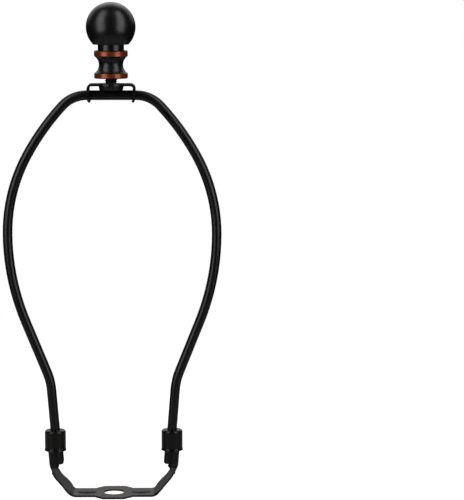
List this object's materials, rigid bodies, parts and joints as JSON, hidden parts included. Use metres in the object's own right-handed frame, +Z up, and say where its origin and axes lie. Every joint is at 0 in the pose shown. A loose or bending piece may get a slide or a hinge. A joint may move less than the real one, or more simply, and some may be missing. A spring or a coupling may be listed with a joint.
{
  "type": "lamp harp with ball finial",
  "caption": "Bent wire bow that stands in a saddle under a lamp socket, locked by sliding sleeves, with a tilting top bracket and a ball finial on a swivel stud to hold the shade.",
  "frame": {"origin": "centre of the saddle's hole, on the saddle's underside", "axes": "+X from the left leg to the right one, +Y to the back, +Z up along the harp"},
  "size_m": [0.1068, 0.024, 0.2424],
  "materials": {
    "wire": "satin black enamel over steel wire",
    "saddle": "dark antique plating on pressed steel",
    "sleeve": "dark antique plating on drawn steel",
    "bracket": "dark antique plating on pressed steel",
    "stud": "dark plated steel",
    "finial": "satin black with the paint rubbed back to copper colour on the bands"
  },
  "bodies": {
    "harp": {"harp_wire": "wire", "saddle": "saddle"},
    "left_lock": {"left_sleeve": "sleeve"},
    "right_lock": {"right_sleeve": "sleeve"},
    "bracket": {"top_bracket": "bracket"},
    "stud": {"threaded_stud": "stud"},
    "knob": {"finial": "finial"}
  },
  "joints": [
    {"name": "left_sleeve_lift", "type": "slide", "parent": "harp", "child": "left_lock", "axis": [-0.0802, 0, 0.9968], "range_m": [0, 0.018]},
    {"name": "right_sleeve_lift", "type": "slide", "parent": "harp", "child": "right_lock", "axis": [0.0802, 0, 0.9968], "range_m": [0, 0.018]},
    {"name": "bracket_tilt", "type": "hinge", "parent": "harp", "child": "bracket", "pos_m": [0, 0, 0.19752], "axis": [1, 0, 0], "range_deg": [-20, 20]},
    {"name": "stud_turn", "type": "hinge", "parent": "bracket", "child": "stud", "pos_m": [0, 0, 0.2032], "axis": [0, 0, -1], "range_deg": [0, 5760]},
    {"name": "finial_rise", "type": "slide", "parent": "bracket", "child": "knob", "axis": [0, 0, 1], "range_m": [0, 0.015]}
  ],
  "couplings": [
    {"joint": "stud_turn", "follows": "finial_rise", "rad_per_m": 6679}
  ]
}
